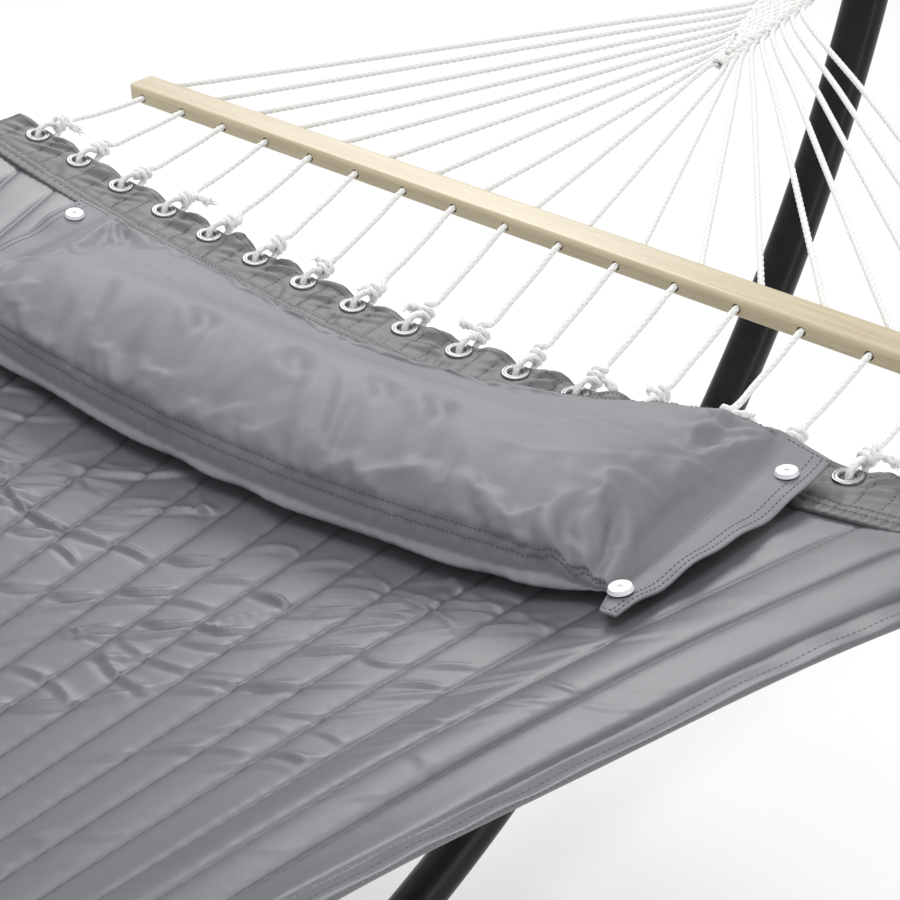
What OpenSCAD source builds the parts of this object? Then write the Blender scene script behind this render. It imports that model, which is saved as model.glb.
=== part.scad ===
// Quilted hammock with spreader bars on a curved steel stand.
// Origin on the floor under the middle of the stand, +X towards the pillow end, +Z up, millimetres.

/* [Stand] */
// Outer diameter of the steel tubes
tube_d = 48; // [44:1:52]
// Wall thickness of the steel tubes
tube_t = 1.5; // [1.2:0.1:2]
// Radius of the curved arms at the tube centreline
arm_r = 1117; // [1100:1:1130]
// Distance from the middle of the stand to where the arms start to curve
arm_x = 650; // [640:1:660]
// Angle on the arc where the lower and upper arm tubes join
arm_joint_a = -45; // [-50:1:-40]
// Angle on the arc where the arm ends
arm_top_a = -6.5; // [-8:0.1:-5]
// Angle on the arc where the eye bolt passes through the arm
eye_a = -13.1; // [-14:0.1:-12.5]
// Length of each cross foot over the steel
foot_l = 1100; // [1000:10:1200]

/* [Hammock] */
// Number of ropes at each end
rope_n = 18; // [18:1:18]
// Distance between neighbouring ropes at the bar and at the hem
pitch = 60; // [60:1:60]
// Diameter of the ropes
rope_d = 6; // [5:0.5:6]
// Distance from the middle of the hammock to the middle of each spreader bar
bar_x = 1150; // [1145:1:1155]
// Height of the spreader bars above the floor
bar_z = 830; // [820:1:835]
// Length, width and height of each spreader bar
bar_size = [38, 1068, 18];
// Distance from the middle of the bed to the outer edge of each end hem
bed_x = 1010; // [1005:1:1015]
// Width of each end hem
hem_w = 60; // [56:1:62]
// Half width of the bed at its ends
bed_end_y = 555; // [550:1:560]
// Half width of the bed at its waist
bed_mid_y = 340; // [330:5:360]
// Drop of the bed's centre line below its edges at the hems
bed_end_drop = 58; // [50:1:62]
// Drop of the bed's centre line below its edges at the waist
bed_mid_drop = 103; // [90:1:110]

/* [Pillow] */
// Middle of the pillow along the bed
pillow_x = 848; // [840:1:852]
// Size of the pillow along the bed
pillow_w = 230; // [220:2:234]
// Length of the stuffed part of the pillow across the bed
pillow_l = 672; // [660:2:700]
// Width of the flat flap at each end of the pillow
flap_w = 44; // [40:1:46]
// Height of the stuffed pillow
pillow_h = 76; // [60:2:80]
// Skew of the pillow off square to the bed, as a share of the distance across it
pillow_skew = 0.06; // [0:0.01:0.06]

/* [Hidden] */
$fn = 48;
tube_r = tube_d / 2;
rope_r = rope_d / 2;
// Clearance between tubes that slide into each other
slip = 0.3;

// Base of the stand: the boots lift the cross feet, which carry the beam in welded sockets
foot_z = 40;
socket_r = tube_r + slip + 2.7;
socket_l = 120;
beam_z = foot_z + tube_r + socket_r - 1;
foot_x = arm_x - socket_l / 2;
arm_z = beam_z + arm_r;
sleeve_l = 240;
bolt_d = 8;
bolt_hole_d = 8.4;
socket_bolt_dx = 36;
neck_a = 6;
joint_bolt_a = arm_joint_a - neck_a / 2;

// Boots at the ends of the cross feet
boot_r = 29;
boot_l = 66;
boot_wall = 6;

// Eye bolt, S-hook and ring on the load line from the arm to the bar
eye_ring_r = 13;
eye_wire_r = 4;
eye_reach = 52;
eye_x = arm_x + (arm_r - eye_reach) * cos(eye_a);
eye_z = arm_z + (arm_r - eye_reach) * sin(eye_a);
hook_wire_r = 3.2;
hook_loop_r = 10.4;
hook_l = 40;
hook_tip_a = 120;
// The shank and tips are a little thinner than the bent ends and reach into them
hook_shank_r = hook_wire_r - 0.1;
hook_lap = 0.3;
hook_lean = asin(2 * hook_loop_r / hook_l);
ring_r = 21.5;
ring_wire_r = 3.5;
load_x = eye_x - eye_ring_r;
load_a = atan2(eye_z - bar_z, load_x - bar_x - bar_size.x / 2);
ring_at = hook_l + ring_r;
clew_tip_at = 255;
clew_step = 15;
clew_tip_w = 5;
clew_end_w = 24;
clew_neck_w = 13;
clew_t = 11;
clew_neck_at = ring_at + ring_r + 8;

// Ropes: one straight run in the bar, a loop through each grommet and a knot beside the hem
bore_d = 8.5;
bend_out = 2.4;
// The rope swells a little where it bends
bend_swell = 0.5;
// Each run stops short of its bend, and the run in the bar is a little thinner
bend_short = 0.6;
bar_run_r = rope_r - 0.2;
loop_r = 12;
knot_r = 8;
grommet_x = bed_x - 16;
grommet_hole_r = 5.6;
grommet_shank_r = 6.8;
grommet_r = 12;
flange_t = 1.2;
hem_hole_r = 7.1;
hem_t = 5;
flange_gap = 0.3;
// The eyelets' seams are turned clear of the plane that the rope loops lie in
seam_a = 235;

// Bed layers, measured from the middle of the quilt
bed_join_x = bed_x - hem_w;
edge_end_z = 12;
edge_mid_z = 4;
cover_out = 8;
cover_in = 6.2;
wadding_out = 6;
join_gap = 0.4;
bed_cells = 24;
bed_cells_across = 12;

// Pillow and snaps
pillow_gap = 2;
flap_gap = 8;
flap_t = 3;
panel_t = 1.3;
fill_gap = 0.5;
// Front and back rows of snaps, and how far past the stuffing each row lies
snap_x = [-88, 88];
snap_out = [11, 27];
snap_y = [for (d = snap_out) pillow_l / 2 + d];
snap_r = 9;
snap_part_t = 2.8;
snap_gap = 0.9;

function sq(a) = a * a;
function rope_y(i) = (i - (rope_n - 1) / 2) * pitch;
function edge_z(s) = edge_mid_z + (edge_end_z - edge_mid_z) * sq(s);
function drop(s) = bed_end_drop + (bed_mid_drop - bed_end_drop) * (1 - sq(s));
function half_w(x) = bed_mid_y + (bed_end_y - bed_mid_y) * min(1, sq(x / bed_join_x));
// Height of the middle of the bed at a place on it
function bed_z(x, y) =
  let (s = x / bed_x, v = y / half_w(x)) bar_z + edge_z(s) - drop(s) * (1 - sq(v));
function hem_slope(y) = atan((bed_z(bed_x, y + pitch / 2) - bed_z(bed_x, y - pitch / 2)) / pitch);
function hem_mid_z(y) = (bed_z(bed_x, y + pitch / 2) + bed_z(bed_x, y - pitch / 2)) / 2;
function bed_slope(x, y) = atan((bed_z(x, y + 1) - bed_z(x, y - 1)) / 2);

// A place on the load line, at a distance from the eye bolt and to one side
function on_load(d, y) = [load_x - d * cos(load_a), y, eye_z - d * sin(load_a)];

// Closed solid between an upper and a lower sheet of points, both with nu by nv cells
module slab(top, bottom, nu, nv) {
  row = nv + 1;
  count = (nu + 1) * row;
  up = [for (i = [0:nu - 1], j = [0:nv - 1])
    let (a = i * row + j) each [[a, a + 1, a + row], [a + 1, a + row + 1, a + row]]];
  down = [for (f = up) [f[0] + count, f[2] + count, f[1] + count]];
  rim = concat(
    [for (i = [0:nu]) i * row],
    [for (j = [1:nv]) nu * row + j],
    [for (i = [1:nu]) (nu - i) * row + nv],
    [for (j = [1:nv - 1]) nv - j]
  );
  n = len(rim);
  side = [for (k = [0:n - 1])
    let (a = rim[k], b = rim[(k + 1) % n]) each [[a, b, a + count], [b, b + count, a + count]]];
  polyhedron(points = concat(top, bottom), faces = [for (f = concat(up, down, side)) [f[2], f[1], f[0]]]);
}

module at_foot() {
  mirror([1, 0, 0]) children();
}

module both_ends() {
  children();
  at_foot() children();
}

module tube_x(x0, x1, r) {
  translate([x0, 0, beam_z])
    rotate([0, 90, 0])
      difference() {
        cylinder(h = x1 - x0, r = r);
        translate([0, 0, -1]) cylinder(h = x1 - x0 + 2, r = r - tube_t);
      }
}

module arc_tube(a0, a1, r_out, r_in) {
  translate([arm_x, 0, arm_z])
    rotate([90, 0, 0])
      rotate([0, 0, a0])
        rotate_extrude(angle = a1 - a0, $fn = 360)
          translate([arm_r, 0])
            difference() {
              circle(r = r_out, $fn = 48);
              if (r_in > 0) circle(r = r_in, $fn = 48);
            }
}

module cross_hole(x, z, d) {
  translate([x, 0, z]) rotate([90, 0, 0]) cylinder(h = 4 * tube_r, d = d, center = true);
}

function joint_x() = arm_x + arm_r * cos(joint_bolt_a);
function joint_z() = arm_z + arm_r * sin(joint_bolt_a);

// Hexagon bolt across a tube, head towards -Y
module bolt_across(x, z, grip) {
  translate([x, 0, z])
    rotate([-90, 0, 0]) {
      translate([0, 0, -grip - 12]) cylinder(h = 2 * grip + 24, d = bolt_d);
      translate([0, 0, -grip - 6.5]) cylinder(h = 5.5, d = 15, $fn = 6);
    }
}

module nut_across(x, z, grip) {
  translate([x, 0, z])
    rotate([-90, 0, 0])
      difference() {
        translate([0, 0, grip + 0.5]) cylinder(h = 7, d = 15, $fn = 6);
        cylinder(h = grip + 12, d = bolt_d + 0.2);
      }
}

module beam() {
  color("black")
    difference() {
      tube_x(0.5, foot_x - 0.5, tube_r);
      cross_hole(sleeve_l / 4, beam_z, bolt_hole_d);
      cross_hole(foot_x - socket_bolt_dx, beam_z, bolt_hole_d);
    }
}

module beam_sleeve() {
  color("black")
    translate([-sleeve_l / 2, 0, beam_z])
      rotate([0, 90, 0])
        difference() {
          cylinder(h = sleeve_l, r = socket_r);
          translate([0, 0, -1]) cylinder(h = sleeve_l + 2, r = tube_r + slip);
          translate([0, 0, sleeve_l / 4]) rotate([90, 0, 0]) cylinder(h = 80, d = bolt_hole_d, center = true);
          translate([0, 0, sleeve_l * 3 / 4]) rotate([90, 0, 0]) cylinder(h = 80, d = bolt_hole_d, center = true);
        }
}

module beam_bolts() {
  color("dimgray") both_ends() bolt_across(sleeve_l / 4, beam_z, socket_r);
}

module beam_nuts() {
  color("dimgray") both_ends() nut_across(sleeve_l / 4, beam_z, socket_r);
}

// Cross tube with the socket for the beam and the arm welded on top between two gussets
module cross_foot() {
  color("black")
    difference() {
      union() {
        translate([foot_x, 0, foot_z]) rotate([90, 0, 0]) cylinder(h = foot_l, r = tube_r, center = true);
        translate([foot_x - socket_l / 2, 0, beam_z]) rotate([0, 90, 0]) cylinder(h = socket_l, r = socket_r);
        for (side = [-1, 1])
          translate([foot_x, side * 17, (foot_z + beam_z) / 2])
            cube([socket_l - 30, 5, beam_z - foot_z - 4], center = true);
      }
      translate([foot_x, 0, foot_z])
        rotate([90, 0, 0]) cylinder(h = foot_l + 2, r = tube_r - tube_t, center = true);
      translate([foot_x - socket_l / 2 - 1, 0, beam_z])
        rotate([0, 90, 0]) cylinder(h = socket_l + 2, r = tube_r + slip);
      cross_hole(foot_x - socket_bolt_dx, beam_z, bolt_hole_d);
      cross_hole(foot_x + socket_bolt_dx, beam_z, bolt_hole_d);
    }
}

// Rubber boot over the end of a cross foot, with a flat sole
module boot() {
  translate([foot_x, foot_l / 2 + boot_wall - boot_l, 0])
    difference() {
      union() {
        translate([0, 0, foot_z]) rotate([-90, 0, 0]) cylinder(h = boot_l, r = boot_r);
        translate([0, boot_l / 2, 0]) cylinder(h = foot_z, r = boot_r);
      }
      translate([0, -1, foot_z]) rotate([-90, 0, 0]) cylinder(h = boot_l - boot_wall + 1 + slip, r = tube_r + 0.2);
    }
}

module boots() {
  color("black") {
    boot();
    mirror([0, 1, 0]) boot();
  }
}

module foot_bolts() {
  color("dimgray")
    both_ends()
      for (dx = [-1, 1]) bolt_across(foot_x + dx * socket_bolt_dx, beam_z, socket_r);
}

module foot_nuts() {
  color("dimgray")
    both_ends()
      for (dx = [-1, 1]) nut_across(foot_x + dx * socket_bolt_dx, beam_z, socket_r);
}

module lower_arm() {
  color("black")
    difference() {
      union() {
        tube_x(foot_x + 0.5, arm_x, tube_r);
        arc_tube(-90, arm_joint_a, tube_r, tube_r - tube_t);
      }
      cross_hole(foot_x + socket_bolt_dx, beam_z, bolt_hole_d);
      cross_hole(joint_x(), joint_z(), bolt_hole_d);
    }
}

// Upper arm with a swaged neck that slides into the lower arm
module upper_arm() {
  neck_r = tube_r - tube_t - slip;
  color("black")
    difference() {
      union() {
        arc_tube(arm_joint_a + 0.02, arm_top_a, tube_r, tube_r - tube_t);
        arc_tube(arm_joint_a + 0.02, arm_joint_a + 0.2, tube_r - tube_t / 2, neck_r - tube_t);
        arc_tube(arm_joint_a - neck_a, arm_joint_a + 0.1, neck_r, neck_r - tube_t);
      }
      cross_hole(joint_x(), joint_z(), bolt_hole_d);
      along_eye() translate([0, 0, -60]) cylinder(h = 120, d = 10.6);
    }
}

module arm_bolts() {
  color("dimgray") both_ends() bolt_across(joint_x(), joint_z(), tube_r);
}

module arm_nuts() {
  color("dimgray") both_ends() nut_across(joint_x(), joint_z(), tube_r);
}

// Domed plug in the open end of each arm
module arm_plugs() {
  color("black")
    both_ends()
      translate([arm_x + arm_r * cos(arm_top_a), 0, arm_z + arm_r * sin(arm_top_a)])
        rotate([0, -arm_top_a, 0]) {
          translate([0, 0, -14]) cylinder(h = 15, r = tube_r - tube_t - 0.7);
          translate([0, 0, 0.3]) cylinder(h = 5, r = tube_r);
          translate([0, 0, 5.3]) cylinder(h = 4, r1 = tube_r, r2 = tube_r - 6);
        }
}

// Frame at the eye bolt's place in the arm, +Z away from the hammock along the bolt
module along_eye() {
  translate([arm_x + arm_r * cos(eye_a), 0, arm_z + arm_r * sin(eye_a)])
    rotate([0, 90 - eye_a, 0]) children();
}

module eye_bolt() {
  color("silver") {
    along_eye() translate([0, 0, eye_ring_r - eye_reach]) cylinder(h = eye_reach - eye_ring_r + tube_r + 16, r = 5);
    translate([eye_x, 0, eye_z])
      rotate([90, 0, 0])
        rotate_extrude() translate([eye_ring_r, 0]) circle(r = eye_wire_r, $fn = 24);
  }
}

// A locking nut outside the arm and a stop nut inside it
module eye_nuts() {
  color("silver")
    both_ends()
      along_eye()
        difference() {
          union() {
            translate([0, 0, tube_r + 2.6]) cylinder(h = 8, d = 19, $fn = 6);
            translate([0, 0, -tube_r - 8.6]) cylinder(h = 6, d = 19, $fn = 6);
          }
          cylinder(h = 120, r = 5.1, center = true);
        }
}

module eye_washers() {
  color("silver")
    both_ends()
      along_eye()
        difference() {
          union() {
            translate([0, 0, tube_r + 0.4]) cylinder(h = 2, r = 10.5);
            translate([0, 0, -tube_r - 2.4]) cylinder(h = 2, r = 10.5);
          }
          cylinder(h = 120, r = 5.2, center = true);
        }
}

// Frame on the load line at the eye bolt, -X towards the bar
module on_load_line(d) {
  translate([load_x, 0, eye_z])
    rotate([0, -load_a, 0])
      translate([-d, 0, 0]) children();
}

// One hooked end, from where the straight shank meets it round to its chamfered tip
module hook_end() {
  rotate([0, 0, -90 - hook_lean])
    rotate_extrude(angle = 90 + hook_lean + hook_tip_a) translate([hook_loop_r, 0]) circle(r = hook_wire_r, $fn = 24);
  rotate([0, 0, hook_tip_a])
    translate([hook_loop_r, 0, 0])
      rotate([-90, 0, 0])
        translate([0, 0, -hook_lap]) cylinder(h = 1.2 + hook_lap, r1 = hook_shank_r, r2 = hook_shank_r - 1, $fn = 24);
}

module s_hook() {
  color("silver")
    on_load_line(0) {
      hook_end();
      translate([-hook_l, 0, 0]) rotate([0, 0, 180]) hook_end();
      translate([-hook_l / 2, 0, 0])
        rotate([0, 0, -hook_lean])
          rotate([0, 90, 0])
            cylinder(h = hook_l * cos(hook_lean) + 2 * hook_lap, r = hook_shank_r, center = true, $fn = 24);
    }
}

module ring() {
  color("silver")
    on_load_line(ring_at)
      rotate([90, 0, 0])
        rotate_extrude() translate([ring_r, 0]) circle(r = ring_wire_r, $fn = 24);
}

// Woven wedge of rope, with rope loops round the ring
module clew() {
  tip = -(clew_tip_at - ring_at);
  wide = tip + 8 * clew_step + 14;
  neck = -(clew_neck_at - ring_at);
  color("white")
    on_load_line(ring_at) {
      translate([0, 0, -clew_t / 2])
        linear_extrude(height = clew_t)
          polygon([
            [tip, -clew_tip_w], [wide, -clew_end_w], [neck, -clew_neck_w],
            [neck, clew_neck_w], [wide, clew_end_w], [tip, clew_tip_w]
          ]);
      for (a = [-36, -12, 12, 36])
        rotate([0, a, 0])
          translate([-ring_r, 0, 0])
            rotate_extrude() translate([7.5, 0]) circle(r = rope_r, $fn = 24);
    }
}

// Straight run of rope between two bends
module run(p, q, r) {
  d = q - p;
  translate(p)
    rotate([0, acos(d.z / norm(d)), atan2(d.y, d.x)])
      translate([0, 0, bend_short]) cylinder(h = norm(d) - 2 * bend_short, r = r, $fn = 24);
}

// One whole rope: clew, bar, knot and the loop through its grommet
module rope(i) {
  y = rope_y(i);
  rank = abs(i - (rope_n - 1) / 2) - 0.5;
  side = y > 0 ? 1 : -1;
  clew_y = clew_tip_w - 1 + rank * (clew_end_w - clew_tip_w) / 9;
  start = on_load(clew_tip_at - 2 - rank * clew_step, side * clew_y);
  bend_in = [bar_x + bar_size.x / 2 + bend_out, y, bar_z];
  bend_bed = [bar_x - bar_size.x / 2 - bend_out, y, bar_z];
  knot = [grommet_x + 2 * loop_r + rope_r + 1, y, hem_mid_z(y)];
  run(start, bend_in, rope_r);
  run(bend_in, bend_bed, bar_run_r);
  run(bend_bed, knot, rope_r);
  for (p = [start, bend_in, bend_bed]) translate(p) sphere(r = rope_r + bend_swell, $fn = 24);
  translate(knot) sphere(r = knot_r, $fn = 24);
  translate([grommet_x + loop_r, y, hem_mid_z(y)])
    rotate([hem_slope(y), 0, 0])
      rotate([90, 0, 0])
        rotate_extrude() translate([loop_r, 0]) circle(r = rope_r, $fn = 24);
}

module ropes() {
  color("white") for (i = [0:rope_n - 1]) rope(i);
}

module rounded_plate(a, b, r) {
  square([a, b - 2 * r], center = true);
  square([a - 2 * r, b], center = true);
  for (x = [-1, 1], y = [-1, 1]) translate([x * (a / 2 - r), y * (b / 2 - r)]) circle(r = r);
}

module spreader_bar() {
  color("burlywood")
    translate([bar_x, 0, bar_z])
      difference() {
        intersection() {
          rotate([90, 0, 0])
            linear_extrude(height = bar_size.y, center = true) rounded_plate(bar_size.x, bar_size.z, 6);
          linear_extrude(height = bar_size.z + 2, center = true) rounded_plate(bar_size.x, bar_size.y, 9);
        }
        for (i = [0:rope_n - 1])
          translate([0, rope_y(i), 0])
            rotate([0, 90, 0]) cylinder(h = bar_size.x + 2, d = bore_d, center = true, $fn = 24);
      }
}

// Two-flange metal eyelet in the hem
module grommets() {
  lift = hem_t / 2 + flange_gap;
  color("silver")
    for (i = [0:rope_n - 1])
      translate([grommet_x, rope_y(i), hem_mid_z(rope_y(i))])
        rotate([hem_slope(rope_y(i)), 0, 0])
          rotate([0, 0, seam_a])
            rotate_extrude()
              polygon([
                [grommet_hole_r, -lift - flange_t], [grommet_r, -lift - flange_t], [grommet_r, -lift],
                [grommet_shank_r, -lift], [grommet_shank_r, lift], [grommet_r, lift],
                [grommet_r, lift + flange_t], [grommet_hole_r, lift + flange_t]
              ]);
}

// Folded band across the end of the bed: one flat facet for each grommet
module hem() {
  stops = concat([-bed_end_y], [for (k = [0:rope_n]) (k - rope_n / 2) * pitch], [bed_end_y]);
  cells = len(stops) - 1;
  xs = [bed_join_x + join_gap, bed_x];
  color("dimgray")
    difference() {
      slab(
        [for (x = xs, y = stops) [x, y, bed_z(bed_x, y) + hem_t / 2]],
        [for (x = xs, y = stops) [x, y, bed_z(bed_x, y) - hem_t / 2]],
        1, cells
      );
      for (i = [0:rope_n - 1])
        translate([grommet_x, rope_y(i), hem_mid_z(rope_y(i))])
          rotate([hem_slope(rope_y(i)), 0, 0]) cylinder(h = 20, r = hem_hole_r, center = true);
    }
}

// One layer of the bed between two heights measured from the middle of the quilt
module bed_layer(z0, z1) {
  function place(i, j, dz) =
    let (
      x = bed_join_x * (2 * i / bed_cells - 1),
      y = half_w(x) * (2 * j / bed_cells_across - 1)
    )
      [x, y, bed_z(x, y) + dz];
  slab(
    [for (i = [0:bed_cells], j = [0:bed_cells_across]) place(i, j, z1)],
    [for (i = [0:bed_cells], j = [0:bed_cells_across]) place(i, j, z0)],
    bed_cells, bed_cells_across
  );
}

module bed_top_cover() {
  color("slategray") bed_layer(cover_in, cover_out);
}

module bed_wadding() {
  color("white") bed_layer(-wadding_out, wadding_out);
}

module bed_back_cover() {
  color("slategray") bed_layer(-cover_out, -cover_in);
}

// Grid of the pillow, closer together towards its seams, with two rows on each flap
pillow_us = [for (k = [-7:7]) sin(k * 90 / 7)];
pillow_vs = [for (k = [-12:12]) sin(k * 90 / 12)];
flap_vs = [1 + flap_w / pillow_l, 1 + 2 * flap_w / pillow_l];
panel_vs = concat([-flap_vs[1], -flap_vs[0]], pillow_vs, flap_vs);
filling_us = [for (k = [2:len(pillow_us) - 3]) pillow_us[k]];
filling_vs = [for (k = [2:len(pillow_vs) - 3]) pillow_vs[k]];

// Height of the stuffing at a place on the grid, as a share of the whole
function puff(u, v) = pow(max(0, 1 - pow(abs(u), 2.4)), 0.6) * pow(max(0, 1 - pow(abs(v), 8)), 0.7);

// Points of the pillow's lower surface (share 0) or upper surface (share 1), moved up by rise
function pillow_points(us, vs, share, rise) = [for (u = us, v = vs)
  let (
    y = v * pillow_l / 2,
    x = pillow_x + u * pillow_w / 2 - pillow_skew * y,
    low = bed_z(x, y) + cover_out + (abs(v) > 0.999 ? flap_gap : pillow_gap)
  )
    [x, y, low + share * (flap_t + (pillow_h - flap_t) * puff(u, v)) + rise]];

module pillow_layer(us, vs, top, bottom) {
  slab(pillow_points(us, vs, top[0], top[1]), pillow_points(us, vs, bottom[0], bottom[1]), len(us) - 1, len(vs) - 1);
}

module pillow_top_panel() {
  color("lightslategray") pillow_layer(pillow_us, panel_vs, [1, 0], [1, -panel_t]);
}

module pillow_back_panel() {
  color("lightslategray") pillow_layer(pillow_us, panel_vs, [0, panel_t], [0, 0]);
}

module pillow_filling() {
  gap = panel_t + fill_gap;
  color("white") pillow_layer(filling_us, filling_vs, [1, -gap], [0, gap]);
}

module at_snaps(lift) {
  for (row = [0, 1], side = [-1, 1]) {
    y = side * snap_y[row];
    x = pillow_x + snap_x[row] - pillow_skew * y;
    translate([x, y, bed_z(x, y)])
      rotate([bed_slope(x, y), 0, 0])
        translate([0, 0, cover_out + lift]) children();
  }
}

module snap_caps() {
  color("white")
    at_snaps(flap_gap + flap_t + snap_gap)
      difference() {
        cylinder(h = snap_part_t, r1 = snap_r, r2 = snap_r - 1.2);
        translate([0, 0, 1.6]) cylinder(h = 4, r = 2);
      }
}

module snap_sockets() {
  color("white") at_snaps(flap_gap - snap_gap - snap_part_t) cylinder(h = snap_part_t, r = 6);
}

module snap_studs() {
  color("white") at_snaps(snap_gap) cylinder(h = snap_part_t, r = 6);
}

beam();  // beam_head
at_foot() beam();  // beam_foot
beam_sleeve();
beam_bolts();
beam_nuts();
cross_foot();  // cross_foot_head
at_foot() cross_foot();  // cross_foot_foot
boots();  // boots_head
at_foot() boots();  // boots_foot
foot_bolts();
foot_nuts();
lower_arm();  // lower_arm_head
at_foot() lower_arm();  // lower_arm_foot
upper_arm();  // upper_arm_head
at_foot() upper_arm();  // upper_arm_foot
arm_bolts();
arm_nuts();
arm_plugs();
eye_bolt();  // eye_bolt_head
at_foot() eye_bolt();  // eye_bolt_foot
eye_nuts();
eye_washers();
s_hook();  // s_hook_head
at_foot() s_hook();  // s_hook_foot
ring();  // ring_head
at_foot() ring();  // ring_foot
clew();  // clew_head
at_foot() clew();  // clew_foot
ropes();  // ropes_head
at_foot() ropes();  // ropes_foot
spreader_bar();  // spreader_bar_head
at_foot() spreader_bar();  // spreader_bar_foot
grommets();  // grommets_head
at_foot() grommets();  // grommets_foot
hem();  // hem_head
at_foot() hem();  // hem_foot
bed_top_cover();
bed_wadding();
bed_back_cover();
pillow_top_panel();
pillow_back_panel();
pillow_filling();
snap_caps();
snap_sockets();
snap_studs();
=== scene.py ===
"""Looks of the hammock on its stand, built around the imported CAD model. Metres, Z up."""

from math import atan2, cos, exp, pi, radians, sin

import bpy
import numpy as np
from mathutils import Matrix, Vector


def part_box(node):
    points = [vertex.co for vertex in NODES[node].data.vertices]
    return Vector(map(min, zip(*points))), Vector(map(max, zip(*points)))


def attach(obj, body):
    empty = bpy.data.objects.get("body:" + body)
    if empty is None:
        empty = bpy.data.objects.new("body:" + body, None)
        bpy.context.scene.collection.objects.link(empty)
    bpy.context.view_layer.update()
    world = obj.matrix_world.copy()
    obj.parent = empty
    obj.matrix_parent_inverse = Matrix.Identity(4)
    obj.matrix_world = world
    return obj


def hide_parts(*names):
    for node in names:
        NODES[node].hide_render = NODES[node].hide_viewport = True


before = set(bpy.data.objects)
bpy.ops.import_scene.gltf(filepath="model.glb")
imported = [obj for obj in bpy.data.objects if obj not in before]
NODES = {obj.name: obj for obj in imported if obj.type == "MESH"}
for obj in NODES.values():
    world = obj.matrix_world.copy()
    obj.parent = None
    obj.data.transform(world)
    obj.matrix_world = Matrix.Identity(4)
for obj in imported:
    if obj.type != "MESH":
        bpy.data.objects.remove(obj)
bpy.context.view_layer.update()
SEED = 11
ENDS = {"head": 1, "foot": -1}
TURN = 2 * pi

# ---- sizes, from the frame

MM = 0.001
BAR_LO, BAR_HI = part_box("spreader_bar_head")
BAR = (BAR_LO + BAR_HI) / 2
BAR_HALF_W = (BAR_HI.x - BAR_LO.x) / 2
HEM_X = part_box("hem_head")[1].x
JOIN_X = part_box("bed_wadding")[1].x
END_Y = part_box("hem_head")[1].y
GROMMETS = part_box("grommets_head")
GROMMET_X = (GROMMETS[0].x + GROMMETS[1].x) / 2
PILLOW_LO, PILLOW_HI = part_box("pillow_top_panel")
RING_LO, RING_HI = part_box("ring_head")
RING = (RING_LO + RING_HI) / 2

ROPE_N = 18
ROPE_R = 3 * MM
PITCH = 60 * MM
WAIST_Y = 340 * MM
END_DROP = 58 * MM
WAIST_DROP = 103 * MM
EDGE_END_Z = 12 * MM
EDGE_WAIST_Z = 4 * MM
CHANNELS = 21
SIDE_BAND = 26 * MM


def rope_y(i):
    """Place across the bed of rope i, counted from 0."""
    return (i - (ROPE_N - 1) / 2) * PITCH


def rope_at(y):
    """The opposite of rope_y: the number of the rope at y, with a fraction."""
    return y / PITCH + ROPE_N / 2 - 0.5


def unit(t):
    return np.clip(t, 0, 1)


def smooth(lo, hi, t):
    """A soft step from 0 at lo to 1 at hi."""
    t = unit((t - lo) / (hi - lo))
    return t * t * (3 - 2 * t)


def bell(t):
    """1 at t = 0, fading to almost nothing at t = 2 on both sides."""
    return np.exp(-(t**2))


def half_w(x):
    """Half the width of the bed."""
    return WAIST_Y + (END_Y - WAIST_Y) * np.minimum(1, (x / JOIN_X) ** 2)


def bed_z(x, y):
    """Height of the middle of the hanging bed."""
    s, v = x / HEM_X, y / half_w(x)
    edge = EDGE_WAIST_Z + (EDGE_END_Z - EDGE_WAIST_Z) * s**2
    drop = END_DROP + (WAIST_DROP - END_DROP) * (1 - s**2)
    return BAR.z + edge - drop * (1 - v**2)


# ---- camera, light and floor

CAMERA_FROM_BAR = Vector((-1.0987, -0.8196, 0.6767))
CAMERA_YAW, CAMERA_PITCH, CAMERA_ROLL = 40.339, 33.663, -0.77
LENS_MM, SENSOR_MM = 68.3, 36
SKY = 0.66
# name, place, where it points, size, watts
LAMPS = (
    ("key", (3.4, 2.2, 3.3), (0.5, 0, 0.8), (1.5, 1.5), 72),
    ("top", (0.3, -0.2, 3.8), (0.3, 0, 0.7), (1.4, 1.4), 38),
    ("strip", (1.3, -3.4, 1.8), (1.5, 0, 0.9), (0.35, 2.6), 14),
)


def put(name, data):
    """A new object in the scene."""
    made = bpy.data.objects.new(name, data)
    bpy.context.scene.collection.objects.link(made)
    return made


def add_camera():
    """Stands beside the bed at the pillow end and looks down across it."""
    yaw, pitch, roll = (radians(a) for a in (CAMERA_YAW, CAMERA_PITCH, CAMERA_ROLL))
    ahead = Vector((cos(pitch) * cos(yaw), cos(pitch) * sin(yaw), -sin(pitch)))
    right = ahead.cross(Vector((0, 0, 1))).normalized()
    up = right.cross(ahead)
    right, up = right * cos(roll) + up * sin(roll), up * cos(roll) - right * sin(roll)
    data = bpy.data.cameras.new("camera")
    data.lens, data.sensor_width = LENS_MM, SENSOR_MM
    data.clip_start, data.clip_end = 0.05, 60
    cam = put("camera", data)
    turn = Matrix((right, up, -ahead)).transposed().to_4x4()
    cam.matrix_world = Matrix.Translation(BAR + CAMERA_FROM_BAR) @ turn
    bpy.context.scene.camera = cam


def add_area(name, place, target, size, watts):
    data = bpy.data.lights.new(name, "AREA")
    data.shape, data.size, data.size_y = "RECTANGLE", size[0], size[1]
    data.energy = watts
    lamp = put(name, data)
    lamp.location = place
    lamp.rotation_euler = (Vector(target) - Vector(place)).to_track_quat("-Z", "Y").to_euler()


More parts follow.
